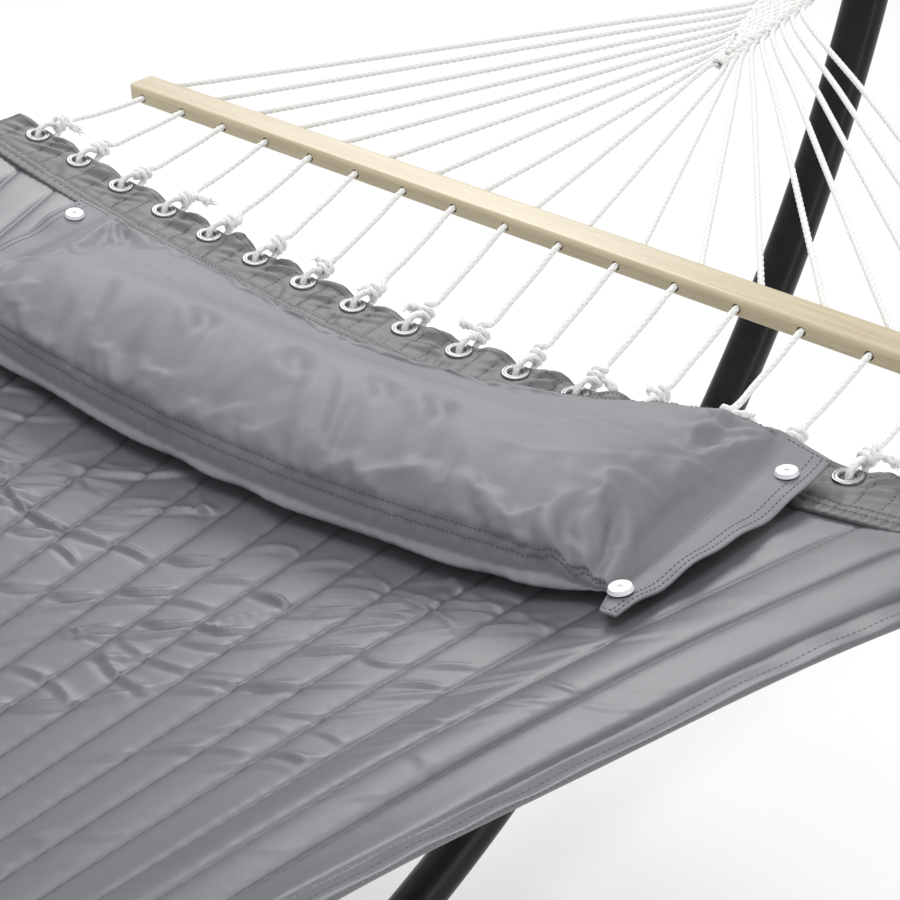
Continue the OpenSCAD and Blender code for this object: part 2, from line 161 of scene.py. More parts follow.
def add_light():
    world = bpy.data.worlds.new("studio")
    bpy.context.scene.world = world
    bpy.context.scene.view_settings.view_transform = "Standard"
    world.use_nodes = True
    sky = world.node_tree.nodes["Background"].inputs
    sky["Color"].default_value = (1, 1, 1, 1)
    sky["Strength"].default_value = SKY
    for lamp in LAMPS:
        add_area(*lamp)


def add_floor():
    bpy.ops.mesh.primitive_plane_add(size=30)
    floor = bpy.context.object
    floor.name = "floor"
    paper = new_material("floor_paper", (0.93, 0.93, 0.93), 0.9, Specular_IOR_Level=0.1)[0]
    floor.data.materials.append(paper)


# ---- materials


def feed(tree, value, socket):
    """Gives a socket a plain value, a colour, or a link from another node."""
    if isinstance(value, bpy.types.NodeSocket):
        tree.links.new(value, socket)
    elif socket.type == "RGBA":
        socket.default_value = (*value, 1)
    else:
        socket.default_value = value


def fill(tree, made, values):
    """Feeds a node's sockets by name, with _ for a space. Any other name is a setting of the node."""
    for key, value in values.items():
        name = key.replace("_", " ")
        if name in made.inputs:
            feed(tree, value, made.inputs[name])
        else:
            setattr(made, key, value)
    return made


def node(tree, kind, **values):
    return fill(tree, tree.nodes.new("ShaderNode" + kind), values)


def new_material(name, colour, roughness, **more):
    mat = bpy.data.materials.new(name)
    mat.use_nodes = True
    tree = mat.node_tree
    shader = fill(tree, tree.nodes["Principled BSDF"], more)
    shader.inputs["Base Color"].default_value = (*colour, 1)
    shader.inputs["Roughness"].default_value = roughness
    mat.diffuse_color = (*colour, 1)
    return mat, shader, tree


def place_coords(tree, scale=(1, 1, 1)):
    """Texture coordinates in the piece's own space, in metres times scale."""
    place = node(tree, "TexCoord").outputs["Object"]
    return node(tree, "Mapping", Scale=scale, Vector=place).outputs["Vector"]


def noise(tree, vector, scale, detail=3.0, rough=0.5):
    made = node(tree, "TexNoise", Scale=scale, Detail=detail, Roughness=rough, Vector=vector)
    return made.outputs["Fac"]


def ramp(tree, factor, stops):
    made = node(tree, "ValToRGB", Fac=factor)
    for k in (0, -1):
        end = made.color_ramp.elements[k]
        end.position, end.color = stops[k][0], (*stops[k][1], 1)
    for at, colour in stops[1:-1]:
        made.color_ramp.elements.new(at).color = (*colour, 1)
    return made.outputs["Color"]


def darken(tree, factor, base, by):
    """A colour multiplied by another, as far as factor says."""
    made = node(tree, "Mix", data_type="RGBA", blend_type="MULTIPLY")
    for socket, value in ((0, factor), (6, base), (7, by)):
        feed(tree, value, made.inputs[socket])
    return made.outputs[2]


def maths(tree, kind, a, b):
    made = node(tree, "Math", operation=kind)
    feed(tree, a, made.inputs[0])
    feed(tree, b, made.inputs[1])
    return made.outputs[0]


def bump(tree, shader, height, strength, distance):
    made = node(tree, "Bump", Strength=strength, Distance=distance, Height=height)
    tree.links.new(made.outputs["Normal"], shader.inputs["Normal"])


def roughness_from(tree, shader, factor, low, high):
    made = node(tree, "MapRange", To_Min=low, To_Max=high, Value=factor)
    tree.links.new(made.outputs["Result"], shader.inputs["Roughness"])


def scaled(colour, by):
    return tuple(min(1.0, c * by) for c in colour)


def mottle(tree, shader, factor, colour, dark, pale, stops=(0.3, 0.7)):
    """Base colour that drifts between a darker and a paler tone of the same colour."""
    base = ramp(tree, factor, [(stops[0], scaled(colour, dark)), (stops[1], scaled(colour, pale))])
    tree.links.new(base, shader.inputs["Base Color"])


def fabric(name, colour, rough=(0.36, 0.46), shine=1.0):
    """Tightly woven polyester: fine plain weave, soft mottling, and painted shade along stitched grooves."""
    look = {"Sheen_Weight": 0.08, "Sheen_Roughness": 0.4, "Specular_IOR_Level": shine}
    mat, shader, tree = new_material(name, colour, 0.5, **look)
    where = place_coords(tree)
    soft = noise(tree, where, 7, 4)
    fine = noise(tree, where, 160, 3)
    base = ramp(tree, soft, [(0.3, scaled(colour, 0.93)), (0.7, scaled(colour, 1.06))])
    base = darken(tree, 0.5, base, ramp(tree, fine, [(0.3, (0.90, 0.90, 0.91)), (0.7, (1, 1, 1))]))
    # painted shade: the cloth darkens where the mesh marks a seam's groove
    groove = node(tree, "Attribute", attribute_name="groove")
    base = darken(tree, groove.outputs["Fac"], base, (0.50, 0.50, 0.52))
    tree.links.new(base, shader.inputs["Base Color"])
    weave = []
    for axis in ("X", "Y"):
        wave = node(tree, "TexWave", bands_direction=axis, Scale=520.0, Distortion=0.6, Vector=where)
        weave.append(wave.outputs["Fac"])
    threads = maths(tree, "ADD", *weave)
    height = maths(tree, "ADD", maths(tree, "MULTIPLY", threads, 0.25), fine)
    bump(tree, shader, height, 0.22, 0.0006)
    roughness_from(tree, shader, soft, *rough)
    return mat


def thread_material(name, colour):
    """Twisted sewing thread."""
    mat, shader, tree = new_material(name, colour, 0.55, Sheen_Weight=0.3)
    where = place_coords(tree)
    mottle(tree, shader, noise(tree, where, 900, 2), colour, 0.8, 1.15, (0.35, 0.65))
    return mat


def rope_material():
    """White braided polyester: fine yarns running round the braid, with painted shade in the gaps."""
    colour = (0.84, 0.84, 0.82)
    look = {"Sheen_Weight": 0.35, "Subsurface_Weight": 0.08, "Subsurface_Radius": (0.003, 0.003, 0.003)}
    mat, shader, tree = new_material("rope_braid", colour, 0.62, **look)
    where = place_coords(tree)
    # painted shade in the braid's gaps, from the gap mask that tube returns
    gap = node(tree, "Attribute", attribute_name="groove")
    yarn = noise(tree, where, 700, 2)
    base = ramp(tree, yarn, [(0.3, scaled(colour, 0.93)), (0.7, (0.90, 0.90, 0.885))])
    base = darken(tree, gap.outputs["Fac"], base, (0.72, 0.73, 0.74))
    tree.links.new(base, shader.inputs["Base Color"])
    bump(tree, shader, yarn, 0.35, 0.0005)
    return mat


def wood_material():
    """Pale, straight-grained hardwood under clear satin lacquer, its grain along Y."""
    colour = (0.54, 0.46, 0.31)
    lacquer = {"Coat_Weight": 0.25, "Coat_Roughness": 0.3}
    mat, shader, tree = new_material("bar_wood_grain", colour, 0.42, **lacquer)
    where = place_coords(tree, (1, 0.045, 1))
    rings = noise(tree, where, 190, 6, 0.62)
    broad = noise(tree, place_coords(tree, (1, 0.25, 1)), 16, 3)
    pores = noise(tree, place_coords(tree, (1, 0.03, 1)), 1400, 2)
    tones = [(0.28, (0.45, 0.37, 0.24)), (0.5, (0.52, 0.45, 0.30)), (0.75, (0.58, 0.515, 0.36))]
    base = ramp(tree, rings, tones)
    base = darken(tree, 0.35, base, ramp(tree, broad, [(0.3, (0.86, 0.82, 0.78)), (0.7, (1, 1, 1))]))
    base = darken(tree, 0.22, base, ramp(tree, pores, [(0.36, (0.62, 0.52, 0.4)), (0.5, (1, 1, 1))]))
    tree.links.new(base, shader.inputs["Base Color"])
    bump(tree, shader, maths(tree, "ADD", pores, rings), 0.12, 0.0004)
    roughness_from(tree, shader, rings, 0.36, 0.5)
    return mat


def paint_material():
    """Gloss black powder coat with a faint orange peel and a few handling marks."""
    gloss = {"Specular_IOR_Level": 0.22, "Coat_Weight": 0.08, "Coat_Roughness": 0.2}
    mat, shader, tree = new_material("black_powder_coat", (0.006, 0.006, 0.007), 0.34, **gloss)
    where = place_coords(tree)
    marks = noise(tree, where, 26, 5, 0.7)
    base = ramp(tree, marks, [(0.4, (0.004, 0.004, 0.005)), (0.8, (0.011, 0.011, 0.012))])
    tree.links.new(base, shader.inputs["Base Color"])
    roughness_from(tree, shader, marks, 0.28, 0.42)
    bump(tree, shader, noise(tree, where, 520, 2), 0.12, 0.0004)
    return mat


def metal_material(name, colour, rough):
    """Plated steel with a fine uneven grain."""
    mat, shader, tree = new_material(name, colour, rough, Metallic=1.0)
    grain = noise(tree, place_coords(tree), 420, 4, 0.6)
    mottle(tree, shader, grain, colour, 0.82, 1.1)
    roughness_from(tree, shader, grain, rough * 0.75, rough * 1.3)
    bump(tree, shader, grain, 0.08, 0.0003)
    return mat


def plastic_material(name, colour, rough, grain=700.0, depth=0.1):
    """Moulded plastic or rubber with a light texture."""
    mat, shader, tree = new_material(name, colour, rough)
    where = place_coords(tree)
    spots = noise(tree, where, 60, 4)
    mottle(tree, shader, spots, colour, 0.9, 1.06)
    roughness_from(tree, shader, spots, rough * 0.85, rough * 1.15)
    bump(tree, shader, noise(tree, where, grain, 3), depth, 0.0004)
    return mat


# ---- mesh helpers


def add_mesh(name, verts, faces, material, groove):
    """A smooth piece; the last argument is how far each of its points lies in a seam or a gap, 0 to 1, and
    so how much painted shade its material puts there.
    """
    mesh = bpy.data.meshes.new(name)
    mesh.from_pydata(verts.tolist(), [], faces)
    mesh.materials.append(material)
    mesh.shade_smooth()
    layer = mesh.attributes.new("groove", "FLOAT", "POINT")
    layer.data.foreach_set("value", groove.astype(np.float32))
    return put(name, mesh)


def grid_faces(rows, cols, around=False):
    """Quads of a grid of points kept row by row; around joins the last column to the first."""
    i, j = np.meshgrid(np.arange(rows - 1), np.arange(cols if around else cols - 1), indexing="ij")
    nxt = (j + 1) % cols
    quads = np.stack([i * cols + j, (i + 1) * cols + j, (i + 1) * cols + nxt, i * cols + nxt], -1)
    return quads.reshape(-1, 4)


def slab_faces(rows, cols, keep=None):
    """Faces of a closed slab: top grid, bottom grid, and a wall where a kept cell has no neighbour."""
    if keep is None:
        keep = np.ones((rows - 1, cols - 1), bool)
    count = rows * cols
    quads = grid_faces(rows, cols).reshape(rows - 1, cols - 1, 4)
    top = quads[keep]
    padded = np.pad(keep, 1)
    walls = []
    for (di, dj), (a, b) in (((-1, 0), (3, 0)), ((1, 0), (1, 2)), ((0, -1), (0, 1)), ((0, 1), (2, 3))):
        bare = keep & ~padded[1 + di : rows + di, 1 + dj : cols + dj]
        edge = quads[bare]
        walls.append(np.stack([edge[:, b], edge[:, a], edge[:, a] + count, edge[:, b] + count], -1))
    return np.concatenate([top, top[:, ::-1] + count, *walls])


def slab(top, bottom, keep=None):
    """Points and faces of a slab between two grids of points."""
    verts = np.concatenate([top.reshape(-1, 3), bottom.reshape(-1, 3)])
    return verts, slab_faces(*top.shape[:2], keep)[:, ::-1]


def unit_vectors(v):
    return v / (np.linalg.norm(v, axis=-1)[..., None] + 1e-12)


def lengths(points):
    """How far along a line each of its points lies."""
    return np.r_[0, np.cumsum(np.linalg.norm(np.diff(points, axis=0), axis=1))]


def read_off(at, along, values):
    """Rows of values at given distances along a line."""
    return np.stack([np.interp(at, along, values[:, k]) for k in range(3)], -1)


def blend(t, a, t_a, b, t_b):
    """A straight line in t: a at t_a, and b at t_b."""
    return (t_b - t) / (t_b - t_a) * a + (t - t_a) / (t_b - t_a) * b


def resample(points, step):
    """Points at even steps along a smooth curve through the given ones."""
    p = np.asarray(points, float)
    p = np.vstack([2 * p[0] - p[1], p, 2 * p[-1] - p[-2]])
    dense = []
    for a, b, c, d in zip(p, p[1:], p[2:], p[3:]):
        n = max(4, int(np.linalg.norm(c - b) / step))
        # centripetal spacing keeps the curve from looping at uneven points
        k = [max(1e-6, np.linalg.norm(q - r)) ** 0.5 for q, r in ((b, a), (c, b), (d, c))]
        t0, t1 = 0.0, k[0]
        t2, t3 = t1 + k[1], t1 + k[1] + k[2]
        t = np.linspace(t1, t2, n, endpoint=False)[:, None]
        middle = blend(t, b, t1, c, t2)
        first = blend(t, blend(t, a, t0, b, t1), t0, middle, t2)
        last = blend(t, middle, t1, blend(t, c, t2, d, t3), t3)
        dense.append(blend(t, first, t1, last, t2))
    dense = np.vstack(dense + [p[-2:-1]])
    along = lengths(dense)
    n = max(3, int(round(along[-1] / step)) + 1)
    at = np.linspace(0, along[-1], n)
    return read_off(at, along, dense), at


def frames_along(points):
    """Two directions across a curve at each point, turned as little as possible."""
    tangent = unit_vectors(np.gradient(points, axis=0))
    first = np.cross(tangent[0], [0.0, 0.0, 1.0])
    if np.linalg.norm(first) < 0.1:
        first = np.cross(tangent[0], [0.0, 1.0, 0.0])
    across = np.empty_like(points)
    now = first / np.linalg.norm(first)
    for k, t in enumerate(tangent):
        now = now - t * (now @ t)
        now = now / np.linalg.norm(now)
        across[k] = now
    return across, np.cross(tangent, across)


def tube(points, radius, sides=12, step=1.75 * MM, braid=0.13, lay=7 * MM, flare=None):
    """Vertices, faces and painted gap shade of a braided rope along points; braid is the height of its
    plaits.
    """
    p, at = resample(points, step)
    a, b = frames_along(p)
    th = np.linspace(0, TURN, sides, endpoint=False)
    turn = TURN * at[:, None] / lay
    plait = 0.5 * (np.cos(3 * th + turn) + np.cos(3 * th - turn))
    r = radius * (1 - braid * 0.5 + braid * plait)
    if flare is not None:
        r = r * flare(at / at[-1])[:, None]
    verts = p[:, None] + r[..., None] * (a[:, None] * np.cos(th)[:, None] + b[:, None] * np.sin(th)[:, None])
    n = len(p)
    faces = grid_faces(n, sides, around=True)
    caps = [list(range(sides)), list(range(n * sides - 1, (n - 1) * sides - 1, -1))]
    verts = verts.reshape(-1, 3)
    return verts, faces, unit(-plait.ravel()), caps


class Pile:
    """Collects several shapes into one mesh."""

    def __init__(self):
        self.verts, self.faces, self.groove, self.count = [], [], [], 0

    def add(self, verts, faces, groove=None, caps=()):
        self.verts.append(np.asarray(verts))
        self.faces += (np.asarray(faces) + self.count).tolist()
        self.faces += [[k + self.count for k in cap] for cap in caps]
        self.groove.append(np.zeros(len(verts)) if groove is None else groove)
        self.count += len(verts)

    def piece(self, name, material):
        return add_mesh(name, np.concatenate(self.verts), self.faces, material, np.concatenate(self.groove))


def stitch_run(pile, line, normals, length=3.2 * MM, gap=1.0 * MM, width=0.55 * MM, rise=0.25 * MM):
    """Machine stitches along a line on a surface: small spindles, one for each stitch."""
    along = lengths(line)
    starts = np.arange(gap, along[-1] - length, length + gap)
    if not len(starts):
        return
    p, q = read_off(starts, along, line), read_off(starts + length, along, line)
    n = unit_vectors(read_off(starts + length / 2, along, normals))
    side = np.cross(unit_vectors(q - p), n)
    rings = []
    for share, size, lift in ((0.12, 0.75, 0.4), (0.5, 1.0, 1.0), (0.88, 0.75, 0.4)):
        centre = p + (q - p) * share + n * rise * lift
        for ca, sa in ((1, 0), (0, 1), (-1, 0), (0, -1)):
            rings.append(centre + (side * ca + n * sa) * width / 2 * size)
    tips = [p - n * rise * 0.3, q - n * rise * 0.3]
    verts = np.stack(rings + tips, 1)
    # one stitch: two bands of quads round its three rings, and a point at each end
    corners = [(k, (k + 1) % 4) for k in range(4)]
    one = [[r + k, r + j, r + 4 + j, r + 4 + k] for r in (0, 4) for k, j in corners]
    for k, j in corners:
        one += [[12, j, k], [13, 8 + k, 8 + j]]
    points = verts.shape[1]
    faces = [[k + points * stitch for k in face] for stitch in range(len(starts)) for face in one]
    pile.add(verts.reshape(-1, 3), (), caps=faces)


def nearest_to(values, wanted):
    return int(np.argmin(abs(values - wanted)))


def grid_normals(points):
    """Unit normals of a grid of points, facing up."""
    du, dv = np.gradient(points, axis=0), np.gradient(points, axis=1)
    n = unit_vectors(np.cross(du, dv))
    return np.where(n[..., 2:3] < 0, -n, n)


# ---- ropes, clew and knots

LOAD = Vector((RING.x - BAR.x - BAR_HALF_W, 0, RING.z - BAR.z))
LOAD_A = atan2(LOAD.z, LOAD.x)
RING_R = 21.5 * MM
TIP_D = 193 * MM
STEP_D = 15 * MM
CLEW_TIP_W = 5 * MM
CLEW_END_W = 24 * MM
RING_LOOPS = 9
# the bed rope's way through its eyelet, in mm outwards and up from the eyelet's middle
EYE_LOOP = ((24, 4.5), (15, 9.5), (5, 8.0), (0.5, 3), (0, -3), (3.5, -8.5), (13, -10), (23, -4.5), (29, -1))
KNOT_R = 5.3 * MM
TAIL_LENGTHS = 15, 27
FIBRES = 16


def from_ring(d, y, up=0.0):
    """A place a distance from the ring's middle towards the bar, to one side, and above the load line."""
    c, s = cos(LOAD_A), sin(LOAD_A)
    return np.array([RING.x - d * c - up * s, y, RING.z - d * s + up * c])


def clew_w(d):
    """Half width of the woven wedge."""
    return np.interp(d, [29 * MM, 60 * MM, TIP_D], [14 * MM, CLEW_END_W, CLEW_TIP_W])


def rope_route(i, rng):
    """From inside the weave, out at its edge and through the bar."""
    y = rope_y(i)
    side = 1 if y > 0 else -1
    rank = abs(i - (ROPE_N - 1) / 2) - 0.5
    leave = TIP_D - 2 * MM - rank * STEP_D
    route = [
        from_ring(max(34 * MM, leave - 44 * MM), side * 2.5 * MM),
        from_ring(max(44 * MM, leave - 22 * MM), side * clew_w(leave) * 0.6),
        from_ring(leave, side * clew_w(leave)),
    ]
    back = np.array([BAR.x + BAR_HALF_W + 1 * MM, y, BAR.z + 0.6 * MM])
    far = from_ring(leave + 14 * MM, side * (clew_w(leave) + 3.5 * MM))
    route.append(far)
    sag = rng.uniform(0.5, 3.0) * MM
    for t in (0.25, 0.5, 0.75, 0.97):
        p = far + (back - far) * t
        p[2] -= sag * 4 * t * (1 - t)
        route.append(p)
    front = BAR.x - BAR_HALF_W - 1 * MM
    route += [back, np.array([BAR.x, y, BAR.z + 0.2 * MM]), np.array([front, y, BAR.z])]
    return route


def knot_place(i):
    """Middle of the knot of a bed rope, above the outer edge of the hem."""
    y = rope_y(i)
    return np.array([GROMMET_X + 29 * MM, y, bed_z(HEM_X, y) + 5 * MM])


def knot_route(i, front, rng):
    """From the bar to the knot, round it, down through the eyelet and back up round the hem."""
    y = rope_y(i)
    k = knot_place(i)
    g = np.array([GROMMET_X, y, float(bed_z(HEM_X, y))])
    run = k - front
    ahead = run / np.linalg.norm(run)
    across = np.array([0.0, 1.0, 0.0])
    up = np.cross(ahead, across)
    up = up if up[2] > 0 else -up
    route = [front + run * t + np.array([0, 0, -1.5 * MM * 4 * t * (1 - t)]) for t in (0.3, 0.6, 0.88)]
    hand = 1 if rng.random() < 0.5 else -1
    spin = rng.uniform(0, 6.28)
    for q in range(17):
        a = spin + hand * q * TURN / 7.5
        wide = KNOT_R * (1 + 0.12 * sin(q * 1.7 + spin))
        out = across * cos(a) * wide + up * sin(a) * wide
        route.append(k + ahead * (-6.5 + q * 0.8) * MM + out)
    sway = rng.uniform(-1, 1)
    for dx, dz in EYE_LOOP:
        route.append(g + np.array([dx, sway * (0.5 if dz > 0 else 1.6) * min(1, dx / 12), dz]) * MM)
    return route


def add_tail(pile, i, rng):
    """Short free end at a knot, its braid opening into loose fibres."""
    k = knot_place(i)
    side = rng.choice((-1, 1))
    long = rng.uniform(*TAIL_LENGTHS) * MM
    drift = np.array([rng.uniform(0.0, 0.6), side * rng.uniform(0.5, 1.0), rng.uniform(-0.35, 0.2)])
    drift /= np.linalg.norm(drift)
    points = [k, k + drift * long * 0.45 + [0, 0, 2.5 * MM], k + drift * long - [0, 0, 1.5 * MM]]

    def opening(t):
        return 1 + 0.55 * smooth(0.3, 0.85, t) - 0.3 * smooth(0.9, 1.0, t)

    pile.add(*tube(points, ROPE_R, step=1.2 * MM, braid=0.2, lay=8 * MM, flare=opening))
    tip, aim = points[-1], points[-1] - points[-2]
    aim /= np.linalg.norm(aim)
    for _ in range(FIBRES):
        start = tip + rng.normal(0, 1.2 * MM, 3) - aim * 2 * MM
        out = aim + rng.normal(0, 0.45, 3)
        end = start + out * rng.uniform(3, 7) * MM
        bend = (start + end) / 2 + rng.normal(0, 0.8 * MM, 3)
        pile.add(*tube([start, bend, end], 0.42 * MM, sides=5, step=1.6 * MM, braid=0.0))


def mirrored(piece, end):
    if end == "foot":
        piece.data.transform(Matrix.Scale(-1, 4, (1, 0, 0)))
        piece.data.flip_normals()
    return piece


def add_ropes(end, mats):
    rng = np.random.default_rng(SEED + ENDS[end])
    for i in range(ROPE_N):
        pile = Pile()
        route = rope_route(i, rng)
        route += knot_route(i, route[-1], rng)
        pile.add(*tube(route, ROPE_R))
        if rng.random() < 0.55 or i % 4 == 2:
            add_tail(pile, i, rng)
        piece = mirrored(pile.piece(f"rope_{end}_{i + 1:02d}", mats["rope"]), end)
        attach(piece, "hammock")
        if i == 0:
            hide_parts(f"ropes_{end}")


def ring_loop(k):
    """One turn of cord over the ring, out of the weave and back into it."""
    a = radians(-52 + 104 * k / (RING_LOOPS - 1))
    rise = (k - (RING_LOOPS - 1) / 2) * 0.9 * MM
    over = []
    for out, y in ((8, 8.0), (0, 7.4), (-6.6, 3.2), (-7.2, 0), (-6.6, -3.2), (0, -7.4), (8, -8.0)):
        far = RING_R + out * MM
        over.append(from_ring(far * cos(a), y * MM, far * sin(a)))
    return [from_ring(44 * MM, 9 * MM, rise), *over, from_ring(44 * MM, -9 * MM, rise)]


def add_clew(end, mats):
    """Loops round the ring, the whipping at the neck and the weft that ties the wedge together."""
    pile = Pile()
    for k in range(RING_LOOPS):
        pile.add(*tube(ring_loop(k), 2.7 * MM, step=1.5 * MM))
    whip = []
    for q in range(60):
        a = q * TURN / 10
        whip.append(from_ring((33 + q * 0.42) * MM, 15.2 * MM * cos(a), 8.4 * MM * sin(a)))
    pile.add(*tube(whip, 2.1 * MM, sides=10, step=1.8 * MM, braid=0.1, lay=5 * MM))
    # strands side by side along the wedge, each over and under the next as it narrows
    for layer in (-1, 1):
        for k in range(-4, 5):
            last = TIP_D - (6 + 9 * abs(k)) * MM
            strand = []
            for q in range(int((last - 46 * MM) / (7.5 * MM)) + 1):
                d = 46 * MM + q * 7.5 * MM
                across = k / 4 * (clew_w(d) - 2.6 * MM) + 0.8 * MM * sin(q * 1.9 + k)
                weave = (2.9 + 0.9 * cos(q * pi + k * pi)) * MM
                strand.append(from_ring(d, across, layer * weave))
            pile.add(*tube(strand, 2.9 * MM, step=1.6 * MM, lay=6 * MM))
    # a doubled cord down each edge
    for side in (-1, 1):
        for twist in (0, pi):
            edge = []
            for q in range(40):
                d = 44 * MM + q / 39 * (TIP_D - 46 * MM)
                a = twist + q * TURN / 7
                w = clew_w(d) - 0.6 * MM
                edge.append(from_ring(d, side * (w + 2.2 * MM * cos(a)), 2.4 * MM * sin(a)))
            pile.add(*tube(edge, 2.5 * MM, step=1.6 * MM, lay=6 * MM))
    # a few turns of cord close the tip
    tip = [from_ring(TIP_D + 5 * MM, 0), from_ring(TIP_D + 4.4 * MM, 2.4 * MM)]
    for q in range(18):
        tip.append(from_ring(TIP_D + (3 - q * 0.55) * MM, 6.0 * MM * cos(q), 5.2 * MM * sin(q)))
    pile.add(*tube(tip, 2.6 * MM, step=1.6 * MM))
    piece = mirrored(pile.piece(f"woven_clew_{end}", mats["rope"]), end)
    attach(piece, "hammock")
    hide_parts(f"clew_{end}")


# ---- quilted bed

CHANNEL_COLS = 12
SEAM_LEVEL = 2.4 * MM
LUMPS = 26
# where the creases crowd together, in front of the pillow
CREASED_X, CREASED_HALF = 0.66, 0.17


def bed_stations():
    """Rows along the bed, closest together in front of the pillow."""
    # from, to, step in mm: the foot half, the middle, in front of the pillow, and under it
    spans = ((-JOIN_X, 0.10, 10), (0.10, 0.44, 3.4), (0.44, 0.76, 2.0), (0.76, JOIN_X, 8))
    rows = [np.arange(lo, hi - 1e-4, step * MM) for lo, hi, step in spans]
    return np.concatenate([*rows, [JOIN_X]])


def bed_columns():
    """Across the bed: -1 to 1 over the channels, denser beside each seam. The side bands come later."""
    even = np.linspace(0, 1, CHANNEL_COLS + 1)[:-1]
    one = 0.35 * even + 0.65 * (0.5 - 0.5 * np.cos(np.pi * even))
    inner = np.concatenate([k + one for k in range(CHANNELS)] + [[CHANNELS]])
    return inner / CHANNELS * 2 - 1


def creases(rng):
    """Short ridges across the channels: place, first and last channel, lean, bow, height, width."""
    found = []
    for k in range(CHANNELS):
        x = -JOIN_X + rng.uniform(0, 0.05)
        while x < JOIN_X:
            near = exp(-(((x - CREASED_X) / CREASED_HALF) ** 2))
            middle = 1 - 0.8 * (abs(k - 10) / 10) ** 2
            if rng.random() < 0.4 + 0.6 * near:
                span = 1 if rng.random() < 0.62 else rng.integers(2, 4)
                a = k + rng.uniform(0.0, 0.12)
                b = min(CHANNELS, k + span - rng.uniform(0.0, 0.15))
                lean = rng.normal(-0.03, 0.10) if rng.random() < 0.5 else rng.normal(-0.3, 0.10)
                tall = rng.uniform(1.4, 3.2) * (0.45 + 1.0 * near) * middle * MM
                wide = (rng.uniform(1.9, 2.6) + 2.2 * abs(lean)) * (1.7 - 0.7 * near) * MM
                found.append((x, a, b, lean, rng.choice((-1, 1)) * rng.uniform(0.05, 0.2), tall, wide))
            x += rng.uniform(0.022, 0.115) * (1 - 0.55 * near)
    return found


def quilt_heights(x, t, seed):
    """Padding above the seam level, and where the seams are (a mask for their painted shade), over rows x
    and columns t.
    """
    rng = np.random.default_rng(seed)
    chan = (t[None, :] + 1) / 2 * CHANNELS
    c = chan - np.floor(np.clip(chan, 0, CHANNELS - 1e-6))
    c = np.where(chan >= CHANNELS - 1e-6, 1.0, c)
    q = abs(2 * c - 1)
    puff = 0.4 * (1 - q**2.4) + 0.6 * (1 - q**8)
    waist = 1 - np.minimum(1, abs(x[:, None]) / JOIN_X) ** 2
    outer = abs(t[None, :]) ** 2
    flat_end = 1 - smooth(JOIN_X - 0.045, JOIN_X, abs(x))[:, None] * 0.75
    tall = (1.7 * MM + 0.8 * MM * waist + 3.0 * MM * outer**2) * flat_end
    lumps = np.zeros((len(x), len(t)))
    for _ in range(LUMPS):
        fx, fy = rng.normal(0, 22), rng.normal(0, 7)
        lumps += np.cos(fx * x[:, None] + fy * t[None, :] + rng.uniform(0, 6.28)) / LUMPS**0.5
    height = tall * puff * (1 + 0.22 * lumps)
    for x0, a, b, lean, bow, high, wide in creases(rng):
        rows = np.where(abs(x - x0) < 0.05)[0]
        cols = np.where((chan[0] >= a) & (chan[0] <= b))[0]
        if not len(rows) or not len(cols):
            continue
        q = (chan[0][cols] - a) / (b - a) * 2 - 1
        line = x0 + (b - a) * 0.045 * (lean * q + bow * (1 - q**2))
        fade = unit(1 - q**2) ** 0.6
        off = (x[rows][:, None] - line[None, :]) / wide
        # a pinched ridge: steep on one side, with a shallow hollow before it
        ridge = np.exp(-(abs(off) ** 1.4)) - 0.5 * bell((off + 2.0) / 1.1)
        patch = np.ix_(rows, cols)
        height[patch] += high * fade[None, :] * ridge * (0.3 + 0.7 * puff[0][cols][None, :]) * flat_end[rows]
    seam = bell(np.minimum(c, 1 - c) / 0.04) * np.ones((len(x), 1))
    # the thread draws the cloth into small ripples along each seam
    pull = bell(np.minimum(c, 1 - c) / 0.16)
    ripple = np.sin(x[:, None] * TURN / 0.0135 + 3 * np.sin(x[:, None] * 37 + np.round(chan) * 2.1))
    height += 0.25 * MM * pull * ripple * (0.6 + 0.4 * lumps)
    return height, seam


def swell(x, y):
    """Slow rolls of the hanging cloth: long folds at the sides, drawn towards the ropes."""
    v = y / half_w(x)
    side = smooth(0.35, 0.95, abs(v))
    fan = v * (9.5 + 1.5 * np.cos(x * 2.2))
    rolls = np.sin(fan * 2.3 + 0.5 * np.sin(x * 4.1 + v * 2))
    return side * 4.2 * MM * rolls * (1 - 0.5 * smooth(0.7, JOIN_X, abs(x)))


